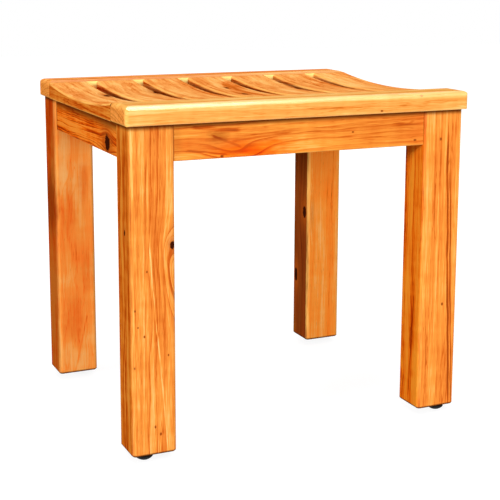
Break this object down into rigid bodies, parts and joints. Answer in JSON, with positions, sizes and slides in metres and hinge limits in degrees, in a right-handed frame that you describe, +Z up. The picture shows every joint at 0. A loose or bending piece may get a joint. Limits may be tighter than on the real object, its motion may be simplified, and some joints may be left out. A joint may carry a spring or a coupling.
{
  "type": "shower foot rest",
  "caption": "Low wooden shower stool and foot rest: square legs, aprons, a slatted seat scooped from front to back, and levelling feet.",
  "frame": {"origin": "on the floor under the middle of the seat", "axes": "+X along the long front from left to right, +Y from front to back, +Z up"},
  "size_m": [0.43, 0.355, 0.4],
  "materials": {
    "leg_wood": "satin clear oil on knotty softwood",
    "apron_wood": "satin clear oil on knotty softwood",
    "rail_wood": "satin clear oil on pale softwood",
    "slat_wood": "satin clear oil on knotty softwood",
    "block_wood": "planed softwood",
    "screw_steel": "zinc plated",
    "insert_brass": "turned",
    "stud_steel": "zinc plated thread",
    "pad_plastic": "moulded, fine grain"
  },
  "bodies": {
    "stool": {"leg_front_left": "leg_wood", "leg_front_right": "leg_wood", "leg_back_left": "leg_wood", "leg_back_right": "leg_wood", "apron_front": "apron_wood", "apron_back": "apron_wood", "apron_left": "apron_wood", "apron_right": "apron_wood", "corner_block_front_left": "block_wood", "corner_block_front_right": "block_wood", "corner_block_back_left": "block_wood", "corner_block_back_right": "block_wood", "seat_rail_front": "rail_wood", "seat_rail_back": "rail_wood", "slat_1": "slat_wood", "slat_2": "slat_wood", "slat_3": "slat_wood", "slat_4": "slat_wood", "slat_5": "slat_wood", "slat_6": "slat_wood", "slat_7": "slat_wood", "corner_block_screws": "screw_steel", "seat_screws": "screw_steel", "insert_front_left": "insert_brass", "insert_front_right": "insert_brass", "insert_back_left": "insert_brass", "insert_back_right": "insert_brass"},
    "foot_front_left": {"foot_pad_front_left": "pad_plastic", "foot_stud_front_left": "stud_steel"},
    "foot_front_right": {"foot_pad_front_right": "pad_plastic", "foot_stud_front_right": "stud_steel"},
    "foot_back_left": {"foot_pad_back_left": "pad_plastic", "foot_stud_back_left": "stud_steel"},
    "foot_back_right": {"foot_pad_back_right": "pad_plastic", "foot_stud_back_right": "stud_steel"}
  },
  "joints": [
    {"name": "foot_front_left_height", "type": "slide", "parent": "stool", "child": "foot_front_left", "axis": [0, 0, -1], "range_m": [-0.0022, 0.008]},
    {"name": "foot_front_right_height", "type": "slide", "parent": "stool", "child": "foot_front_right", "axis": [0, 0, -1], "range_m": [-0.0022, 0.008]},
    {"name": "foot_back_left_height", "type": "slide", "parent": "stool", "child": "foot_back_left", "axis": [0, 0, -1], "range_m": [-0.0022, 0.008]},
    {"name": "foot_back_right_height", "type": "slide", "parent": "stool", "child": "foot_back_right", "axis": [0, 0, -1], "range_m": [-0.0022, 0.008]}
  ]
}
